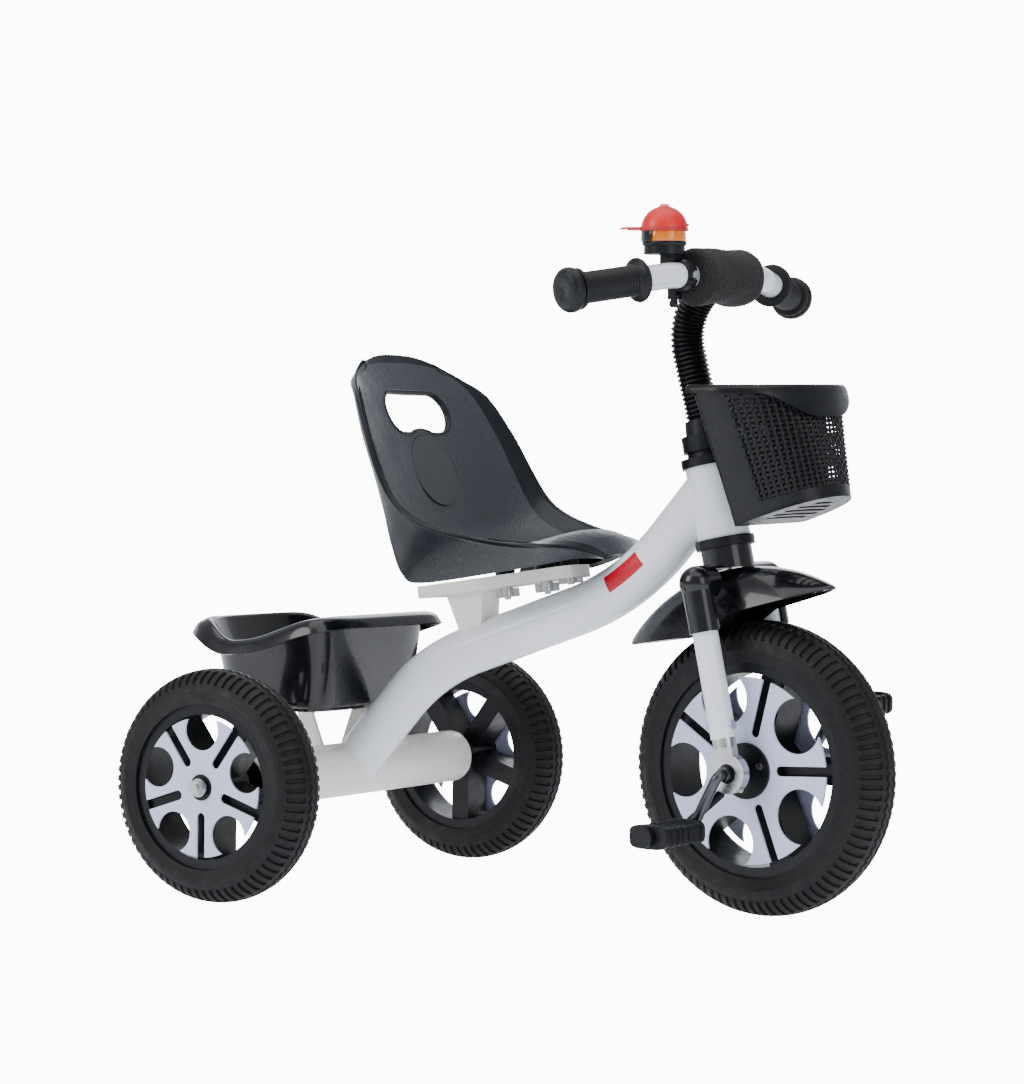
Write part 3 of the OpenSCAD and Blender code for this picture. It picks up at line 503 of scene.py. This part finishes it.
seat_rows = [
    [[44, 483], [52, 60, 474], [41, 54, 469]],
    [[50, 470], [62, 88, 462], [51, 81, 457]],
    [[61, 446], [78, 108, 446], [67, 99, 442]],
    [[76, 411], [98, 122, 411], [84, 110, 407]],
    [[89, 378], [115, 129, 378], [100, 115, 373]],
    [[101, 346], [131, 131, 354], [111, 116, 342]],
    [[116, 319], [148, 131, 341], [115, 110, 314]],
    [[143, 304], [172, 131, 331], [121, 101, 287]],
    [[182, 302], [203, 127, 323], [134, 89, 279]],
    [[221, 310], [229, 117, 318], [205, 78, 290]],
    [[245, 324], [253, 92, 315], [238, 60, 297]],
    [[259, 328], [267, 64, 313], [258, 44, 302]],
    [[272, 324], [276, 42, 309], [268, 31, 303]],
    [[281, 314], [280, 26, 305], [274, 20, 303]],
    [[285, 307], [282, 22, 304], [277, 17, 302]],
]


def seat_row(row):
    mid, rim, low = row

    def skirt(side, v):
        w = rim[1] + (low[1] - rim[1]) * v + 1.5 * math.sin(math.pi * v)
        return [rim[0] + (low[0] - rim[0]) * v, side * w, rim[2] + (low[2] - rim[2]) * v]

    def pan(u):
        k = abs(u) ** 2.6
        return [mid[0] + (rim[0] - mid[0]) * k, rim[1] * u, mid[1] + (rim[2] - mid[1]) * k]

    left = [skirt(1, v) for v in (0.33, 0.66, 1)]
    return [skirt(-1, v) for v in (1, 0.66, 0.33)] + [pan(k / 8) for k in range(-8, 9)] + left


seat_front = refine(refine([seat_row(r) for r in seat_rows], 6, 0), 4, 1)
n, m = seat_front.shape[:2]
wall = 4 - 2.6 * np.clip((np.arange(n) - (n - 20)) / 12, 0, 1)
seat_points, seat_faces = shell(seat_front, wall[:, None, None])
inner = [1 if 17 <= j < m - 18 and i >= 4 else 0 for i in range(n - 1) for j in range(m - 1)]
pick = inner + [0] * (len(seat_faces) - len(inner))
seat = piece("seat_shell", seat_points, seat_faces, REAR, "frame", [smooth_seat, seat_grain],
    ("seat",), 64, pick)


def arc(cx, cy, r, a, b, count):
    return [(cx + r * math.cos(math.radians(a + (b - a) * k / count)),
        cy + r * math.sin(math.radians(a + (b - a) * k / count))) for k in range(count + 1)]


hole = [(-77, y) for y in range(-25, 30, 5)] + arc(-56, 30, 21, 180, 0, 20)
hole += [(-35, y) for y in (26, 22)] + arc(0, 0, 39, 153.8, 206.2, 10)
hole += [(-35, y) for y in (-22, -26)] + arc(-56, -30, 21, 0, -180, 20)
pocket = arc(0, 0, 34.5, 0, 360, 96)[:-1]
cut(seat, prism(hole, -30, 30, DISC), prism(pocket, -1, 20, DISC), sharp=64)

to_disc = np.array(DISC.inverted() @ REAR)
flat = seat_front.reshape(-1, 3) @ to_disc[:3, :3].T + to_disc[:3, 3]


def seat_height(x, y):
    """Height of the seating surface over the disc's plane."""
    away = np.hypot(flat[:, 0] - x, flat[:, 1] - y)
    near = np.argsort(away)[:6]
    weight = 1 / (away[near] + 0.5) ** 2
    return float((flat[near, 2] * weight).sum() / weight.sum())


def edge_roll(name, outline, r, sink, mat):
    """A rounded bead round an opening in the backrest."""
    count, path = len(outline), []
    for k in range(count):
        (x0, y0), (x1, y1) = outline[k - 1], outline[(k + 1) % count]
        side = Vector((y1 - y0, x0 - x1, 0)).normalized()
        x, y = outline[k]
        path.append(((x, y, seat_height(x, y) - sink), side, (0, 0, 1)))
    points, faces = bar(path, r, r + 0.6, 12, True)
    return piece(name, points, faces, DISC, "frame", mat, (), 80)


edge_roll("seat_hole_bead", hole, 2.6, 2.2, smooth_seat)

bosses = []
for x, high in ((81, 16.5), (123, 16), (148, 24)):
    profile = [(3.1, 11), (8.3, 11), (9, 11.7), (9, 11 + high), (3.1, 11 + high)]
    points, faces = revolve(profile, 40, True)
    bosses.append(([(px + x, py, pz) for px, py, pz in points], faces))
points, faces = join(*bosses)
piece("seat_bosses", points, faces, CHANNEL, "frame", smooth_seat)

# ---- Rear bucket ----


def oval(a, mid, fore, aft, half, fore_p, aft_p):
    c, s = math.cos(a), math.sin(a)
    p, reach = (fore_p, fore) if c > 0 else (aft_p, aft)
    return (mid + math.copysign(reach * abs(c) ** (2 / p), c),
        math.copysign(half * abs(s) ** (2 / p), s))


def spaced(make, count):
    """count angles that space a ring's points evenly, corners included."""
    fine = [2 * math.pi * k / 1440 for k in range(1441)]
    pts = np.array([make(a) for a in fine])
    length = np.concatenate([[0], np.cumsum(np.linalg.norm(np.diff(pts, axis=0), axis=1))])
    return np.interp(np.linspace(0, length[-1], count, endpoint=False), length, fine)


bucket_angles = spaced(lambda a: oval(a, -50, 78, 70, 91, 6, 2.7), 180)


def bucket_wave(a):
    x = oval(a, 12, 82, 72, 96, 6, 2.7)[0]
    return (1 + math.cos(math.pi * min(1, abs(x) / (95 if x > 0 else 52)))) / 2


bucket_rings = [[163.5, 64, 44, 80, 0, 0], [164.6, 67, 47, 83, 0, 0],
    [168, 68.8, 48.8, 84.4, 0, 0], [190, 73, 55, 87, 0, 0], [215, 76, 62, 89.5, 0.3, 0],
    [236, 78, 69, 92, 1, 2], [242, 80.5, 71, 94.5, 1, 3], [243.4, 84, 74, 98, 1, 3],
    [241.5, 89, 80, 102, 1, 4], [238.5, 93, 86, 105, 1, 4.4], [231, 97, 91, 108, 1, 5]]


def bucket_ring(q):
    out = []
    for a in bucket_angles:
        x, y = oval(a, -50, q[1], q[2], q[3], 6, 2.7)
        out.append([x, y, q[0] - 21 * q[4] * bucket_wave(a) + q[5] * math.cos(a)])
    return out


def tub(front, thick):
    """A closed tub: a ring shell with a floor."""
    points, faces = shell(front, thick, True)
    n, m = front.shape[:2]
    low = points[n * m : n * m + m].copy()
    low[:, 2] -= thick
    points[n * m : n * m + m] = low
    inside, outside = front[0].mean(0), low.mean(0)
    points = np.concatenate([points, [inside, outside]])
    faces = [f for f in faces if not (max(f) >= n * m and min(f) < m)]
    for j in range(m):
        k = (j + 1) % m
        faces.append((j, k, 2 * n * m))
        faces.append((n * m + j, n * m + k, 2 * n * m + 1))
    return points, faces


points, faces = tub(refine([bucket_ring(q) for q in bucket_rings], 4, 0), 2.5)
piece("rear_bucket_shell", points, faces, REAR, "frame", gloss,
    ("rear_bucket",), 45)

# ---- Front mudguard ----


def guard_row(a):
    u = a / -42 if a < 0 else a / 36
    half = 3 + 31 * (1 - min(1, u) ** 2.6) ** 0.6
    k = max(0, min(1, (a + 8) / 16))
    edge = (1 - k) * (118 + 8 * u) + k * (133 + 5 * u)
    c, s = math.cos(math.radians(a)), math.sin(math.radians(a))
    low = min(edge / c, 171)
    out = []
    for j in range(-18, 19):
        v = math.copysign(abs(j / 18) ** 0.8, j)
        r = low + (173 - low) * (1 - abs(v) ** 2.3)
        out.append([r * s, half * v, r * c])
    return out


guard_angles = [-3 + 39 * math.cos(math.pi * (1 - k / 72)) for k in range(73)]
points, faces = shell(np.array([guard_row(a) for a in guard_angles]), 2.5)
piece("front_mudguard_shell", points, faces, FORK, "steering", gloss,
    ("front_mudguard",), 50)

# ---- Front basket ----


def basket_reach(q):
    return (62 - 3 * q, 13, 50 + 28 * q)


def basket_point(a, q, rise=0.0, deep=0.0, size=None):
    fore, aft, half = size or basket_reach(q)
    x, y = oval(a, 60, fore, aft, half, 2.2, 9)
    low = 206 + (x - 47) * math.tan(math.radians(7))
    top = 326 - (x - 41) * math.tan(math.radians(12))
    away = math.degrees(min(a % (2 * math.pi), 2 * math.pi - a % (2 * math.pi)))
    part = max(0, min(1, (52 - away) / 44))
    return [x, y, low + (top - low) * q + rise + deep * part * part * (3 - 2 * part)]


basket_angles = spaced(lambda a: basket_point(a, 1), 160)
border = refine([[basket_point(a, q, rise) for a in basket_angles] for q, rise in
    ((0, 0), (0.012, 0), (0.05, 0), (0.085, 0))], 2, 0)
points, faces = tub(border, 2.5)
basket_floor = piece("basket_floor", points, faces, FORK, "steering", basket_black,
    (), 45)
slots = []
for k in range(5):
    x, half = 66 + 10 * k, 30 - 2.2 * (k - 1) ** 2
    slots.append(arc(x, half, 2.6, 0, 180, 10) + arc(x, -half, 2.6, 180, 360, 10))
cut(basket_floor, *[prism(o, 180, 222, FORK) for o in slots])

rim_sizes = [(0.9, 0, 0, None), (0.95, 0, 0, None), (0.985, -1, 0, None),
    (1, -0.6, 0, (60, 14, 79.5)), (1, 0.2, 0, (62, 16, 81.5)), (1, -0.2, 0, (64.5, 17.6, 83)),
    (1, -2, -2, (66.5, 18.6, 84.2)), (1, -4, -9, (67.5, 19, 84.8)), (1, -7, -20, (68, 19, 85))]
rim = refine([[basket_point(a, *q) for a in basket_angles] for q in rim_sizes], 4, 0)
points, faces = shell(rim, 2.2, True)
piece("basket_rim", points, faces, FORK, "steering", basket_black,
    ("front_basket",), 45)

open_half = math.radians(74)
back_angles = np.linspace(open_half, 2 * math.pi - open_half, 90)
back = np.array([[basket_point(a, q) for a in back_angles] for q in np.linspace(0.07, 0.92, 12)])
points, faces = shell(back, 2.2)
piece("basket_back", points, faces, FORK, "steering", basket_black)


def front_line(q, count):
    """Evenly spaced points and outward normals across the woven front at share q."""
    fine = np.linspace(-open_half - 0.03, open_half + 0.03, 400)
    pts = np.array([basket_point(a, q) for a in fine])
    length = np.concatenate([[0], np.cumsum(np.linalg.norm(np.diff(pts, axis=0), axis=1))])
    want = np.linspace(0, length[-1], count)
    line = np.stack([np.interp(want, length, pts[:, k]) for k in range(3)], 1)
    along = np.gradient(line, axis=0)
    out = np.cross(along, (0, 0, 1))
    return line, out / np.linalg.norm(out, axis=1, keepdims=True)


STAKES, ROWS, FINE = 28, 21, 6
weave = []
for k in range(STAKES + 1):
    path = []
    for q in np.linspace(0.075, 0.93, 14):
        line, out = front_line(q, STAKES + 1)
        along = np.cross((0, 0, 1), out[k])
        path.append((line[k] + 1.2 * out[k], along, out[k]))
    weave.append(bar(path, 1.5, 0.8, 6))
for j in range(ROWS):
    q = 0.1 + 0.81 * j / (ROWS - 1)
    line, out = front_line(q, STAKES * FINE + 1)
    path = []
    for k in range(len(line)):
        swing = 1.2 + 1.15 * math.cos(math.pi * (k / FINE + j))
        path.append((line[k] + swing * out[k], out[k], (0, 0, 1)))
    weave.append(bar(path, 0.7, 1.45, 6))
points, faces = join(*weave)
piece("basket_weave", points, faces, FORK, "steering", basket_black, (), 60)

# ---- Stem bellows, pad and grips ----

stem = walk([(0, 300, -3.2), (42, 0, 0), (0, 55, 63.2)], 0.0, 0.7)
rings, run = [], 0.0
for k, (up, fore, angle) in enumerate(stem):
    if k:
        run += math.hypot(up - stem[k - 1][0], fore - stem[k - 1][1])
    fold = 0.5 + 0.5 * math.cos(2 * math.pi * run / 4.2)
    r = 12.6 + 2.4 * fold**0.75
    side, out = Vector((0, 1, 0)), Vector((math.cos(angle), 0, -math.sin(angle)))
    centre = Vector((fore, 0, 304 + up))
    rings.append([centre + r * (math.cos(t) * side + math.sin(t) * out)
        for t in np.linspace(0, 2 * math.pi, 48, endpoint=False)])
count = len(rings)
points = [tuple(v) for ring in rings for v in ring]
faces = grid_faces(count, 48, False, True)
faces += [tuple(range(48)), tuple(range((count - 1) * 48, count * 48))]
piece("stem_bellows_folds", points, faces, FORK, "steering", hose,
    ("stem_bellows",), 60)

PAD_HALF = 41
around = np.linspace(0, 2 * math.pi, 96, endpoint=False)
pad_rows = []
for k in range(97):
    y = -PAD_HALF + 2 * PAD_HALF * k / 96
    end = max(0.0, abs(y) - 33) / 8
    base = 23.5 - 8 * (1 - math.sqrt(max(0.0, 1 - end * end)))
    row = []
    for t in around:
        below = max(0, -math.sin(t + 0.4))
        r = base * (1 + 0.012 * math.sin(3 * t + y / 9) + 0.01 * math.sin(5 * t - y / 6))
        r += below**3 * (1.6 * math.cos((y - 24) / 9) + 0.8) * (1 - end)
        r += 0.28 * math.sin(2 * math.pi * (y / 2.7 + 6 * t / 2 / math.pi)) * (1 - end * 0.5)
        row.append([r * math.cos(t), y, r * math.sin(t)])
    pad_rows.append(row)
hems = [[[13 * math.cos(t), y, 13 * math.sin(t)] for t in around] for y in (-PAD_HALF, PAD_HALF)]
pad_rows = hems[:1] + pad_rows + hems[1:]
pad_grid = np.array(pad_rows)
n, m = pad_grid.shape[:2]
faces = grid_faces(n, m, False, True) + [tuple(range(m)), tuple(range((n - 1) * m, n * m))]
pad = piece("handlebar_pad_padded", pad_grid.reshape(-1, 3), faces, BAR @ move(2, 0, 0),
    "steering", mesh_fabric, ("handlebar_pad",), 60)


def grip_profile():
    out = [(11.1, 25), (16.8, 25), (18.4, 25.8), (19, 27.2), (18.6, 28.8), (17, 30), (14.6, 30.8),
        (13.4, 32)]
    z = 33.0
    while z < 86:
        fold = 0.5 + 0.5 * math.cos(2 * math.pi * (z - 33) / 2.8)
        out.append((12.7 + 0.7 * fold, z))
        z += 0.56
    out += [(13.2, 86.6), (16.4, 87), (17.4, 88), (17.5, 90), (16.6, 91), (15.2, 91.4),
        (15.2, 92.8), (17.6, 93), (18.7, 94), (19, 96), (18.9, 99), (18, 101), (16.2, 103.2),
        (14.6, 104), (3.2, 104), (2.4, 103.2), (0.001, 103.2), (0.001, 101.2), (11.1, 101.2)]
    return out


for side, name in ((-1, "right"), (1, "left")):
    points, faces = revolve(grip_profile(), 72, True)
    piece("grip_" + name + "_ribbed", points, faces, grip_place(side), "steering", grip_rubber,
        ("grip_" + name,), 50)

# ---- Bell ----

points, faces = revolve([(6, 26), (17, 26), (18.2, 27.2), (18.5, 31), (18.4, 35), (17.8, 38.6),
    (6, 38.6)], 72, True)
piece("bell_body_amber", points, faces, GONG, "steering", amber, ("bell_body",), 50)
panel = np.array([[[r * math.cos(a), r * math.sin(a), z] for a in np.linspace(3.0, 4.75, 30)]
    for r, z in ((18.9, 29), (19.1, 31), (19.0, 35), (18.6, 38.2))])
points, faces = shell(panel, 0.8)
piece("bell_dark_panel", points, faces, GONG, "steering", gloss, (), 50)
points, faces = revolve([(17.3, 25.4), (18.3, 25.4), (18.9, 26.4), (18.9, 28.2), (18.3, 29),
    (17.3, 29)], 72, True)
piece("bell_base_band", points, faces, GONG, "steering", satin, (), 50)

dome = [(18.3, 37.6), (19.9, 37.8), (20, 39)]
dome += [(20 * math.cos(math.radians(a)), 39 + 20 * math.sin(math.radians(a)))
    for a in range(6, 86, 6)]
dome += [(0.001, 58.95), (0.001, 57), (17, 44), (18.3, 39)]
points, faces = revolve(dome, 72, True)
piece("bell_cap_dome", points, faces, GONG, "steering", red, ("bell_cap",), 50)
points, faces = revolve([(19.6, 37.6), (20.35, 37.7), (20.4, 39), (20.2, 40.2), (19.6, 40.3)],
    72, True)
tab = [(x, y, z) for x in (19, 24) for y in (-2.6, 2.6) for z in (41.2, 43.2)]
tab_faces = [(0, 1, 3, 2), (4, 6, 7, 5), (0, 4, 5, 1), (2, 3, 7, 6), (0, 2, 6, 4), (1, 5, 7, 3)]
points, faces = join((points, faces), (tab, tab_faces))
piece("bell_cap_band", points, faces, GONG, "steering", deep_red, (), 50)
peak = []
for k in range(13):
    u = k / 12
    x = -16 - 26 * u
    half = 16.5 * math.sqrt(max(0.0, 1 - (u * 0.97) ** 3.2)) + 0.3
    peak.append([[x + 4 * (1 - u) * abs(v) ** 2, half * v, 40.6 - 1.5 * v * v + 0.6 * u]
        for v in np.linspace(-1, 1, 17)])
points, faces = shell(np.array(peak), 1.5)
piece("bell_cap_peak", points, faces, GONG, "steering", red, (), 60)
points, faces = revolve([(0.001, 58.3), (4.4, 58.3), (4.5, 59.3), (3.8, 60.3), (2, 60.9),
    (0.001, 61)], 40, True)
piece("bell_cap_button", points, faces, GONG, "steering", peach, (), 60)

# ---- Pedals ----


def pedal(side, name):
    """A ribbed block with toothed long edges and end plates."""
    rows = []
    for k in range(119):
        y = -28 + 56 * k / 118
        plate = abs(y) > 23.2
        tooth = 0.5 + 0.5 * math.tanh(6 * math.cos(2 * math.pi * y / 8.2))
        row = []
        for t in np.linspace(0, 2 * math.pi, 64, endpoint=False):
            c, s = math.cos(t), math.sin(t)
            x = 19.6 * math.copysign(abs(c) ** 0.5, c)
            z = 10.8 * math.copysign(abs(s) ** 0.5, s)
            if plate:
                x, z = x * 0.97, z * 0.93
            else:
                edge = max(0, (abs(x) - 9) / 10.6)
                x *= 1 - 0.1 * (1 - tooth) * edge
                z *= 0.62 + 0.38 * edge * (0.72 + 0.28 * tooth)
            row.append([x, y, z])
        rows.append(row)
    g = np.array(rows)
    n, m = g.shape[:2]
    faces = grid_faces(n, m, False, True) + [tuple(range(m)), tuple(range((n - 1) * m, n * m))]
    place = CRANK @ move(0, side * 104.5, side * 55) @ turn(-29.5, "Y")
    block = piece("pedal_" + name + "_block", g.reshape(-1, 3), faces, place, name + "_pedal",
        grip_rubber, ("pedal_" + name,), 40)
    bore = arc(0, 0, 4.6, 0, 360, 24)[:-1]
    cut(block, prism(bore, -40, 40, place @ turn(90, "X")))


pedal(-1, "right")
pedal(1, "left")

# ---- Red tag on the main tube ----

steps = [(72, 0, 0), (0, 190, -30), (114.6, 0, 0), (0, 220, 30), (54, 0, 0)]
tube = [(x + 5.2, z + 106.8, a) for x, z, a in walk(steps, math.radians(49.5), 1.0)]
tag_rows = []
for x, z, a in [t for t in tube if 284 <= t[0] <= 317]:
    up = Vector((-math.sin(a), 0, math.cos(a)))
    row = []
    for lift in np.linspace(-9, 31, 15):
        t = math.radians(lift)
        p = Vector((x, 0, z)) + 22.45 * (-math.cos(t) * Vector((0, 1, 0)) + math.sin(t) * up)
        row.append(list(p))
    tag_rows.append(row)
points, faces = shell(np.array(tag_rows), 0.5)
piece("main_tube_tag", points, faces, REAR, "frame", tag_red, (), 50)

# ---- Camera ----

az, el, roll = math.radians(31.5678), math.radians(1.487), math.radians(0.63388)
back_axis = Vector((math.sin(az) * math.cos(el), -math.cos(az) * math.cos(el), math.sin(el)))
right = Vector((math.cos(az), math.sin(az), 0))
up_axis = back_axis.cross(right)
turned = math.cos(roll) * right + math.sin(roll) * up_axis
up_axis = math.cos(roll) * up_axis - math.sin(roll) * right
camera = bpy.data.objects.new("camera", bpy.data.cameras.new("camera"))
camera.data.lens = 110.14
camera.data.sensor_width = 36
camera.data.shift_y = 0.0073
camera.data.clip_end = 50
camera.matrix_world = Matrix((
    (turned.x, up_axis.x, back_axis.x, 1.5176),
    (turned.y, up_axis.y, back_axis.y, -2.5267),
    (turned.z, up_axis.z, back_axis.z, 0.3847),
    (0, 0, 0, 1)))
bpy.context.scene.collection.objects.link(camera)
bpy.context.scene.camera = camera

# ---- Floor, backdrop and light ----

# The stage glows to the camera as a lit studio sweep does, and only faintly onto the tricycle
floor_make = Finish("floor_white", "#F4F5F9", 0.32, 0.01, 3, 0.03,
    Emission_Color=(0.94, 0.96, 1.0, 1.0))
seen = floor_make.tree.nodes.new("ShaderNodeLightPath").outputs["Is Camera Ray"]
floor_make.link(floor_make.ranged(seen, 0, 1, 0.7, 12.0),
    floor_make.shader.inputs["Emission Strength"])
stage_points = []
for k in range(41):
    t = max(0, (k - 20) / 20) * math.pi / 2
    out = -9 + 13 * min(1, k / 20) + 3 * math.sin(t)
    high = 3 * (1 - math.cos(t))
    for side in (-12, 12):
        v = -back_axis * out + turned * side
        stage_points.append((v.x, v.y, high))
mesh = bpy.data.meshes.new("floor")
mesh.from_pydata(stage_points, [], grid_faces(41, 2))
mesh.shade_smooth()
mesh.materials.append(floor_make.mat)
floor = bpy.data.objects.new("floor", mesh)
bpy.context.scene.collection.objects.link(floor)

world = bpy.data.worlds.new("studio")
bpy.context.scene.world = world
world.use_nodes = True
world.node_tree.nodes["Background"].inputs["Color"].default_value = (0.93, 0.96, 1.0, 1)
world.node_tree.nodes["Background"].inputs["Strength"].default_value = 0.5


def softbox(name, place, target, size, power, colour=(1, 1, 1)):
    lamp = bpy.data.lights.new(name, "AREA")
    lamp.shape = "RECTANGLE"
    lamp.size, lamp.size_y = size
    lamp.energy = power
    lamp.color = colour
    ob = bpy.data.objects.new(name, lamp)
    ob.location = place
    aim = Vector(target) - Vector(place)
    ob.rotation_euler = aim.to_track_quat("-Z", "Y").to_euler()
    bpy.context.scene.collection.objects.link(ob)


softbox("top", (0.1, -0.3, 2.4), (0, 0, 0.2), (2.6, 2.6), 40)
softbox("key", (-1.4, -2.2, 1.7), (0, 0, 0.3), (1.4, 1.6), 42)
softbox("fill", (2.4, -1.0, 1.2), (0.1, 0, 0.3), (1.2, 1.8), 16, (0.95, 0.97, 1))
softbox("rim", (-1.2, 2.2, 1.6), (0, 0, 0.35), (2.0, 1.2), 20, (0.92, 0.95, 1))
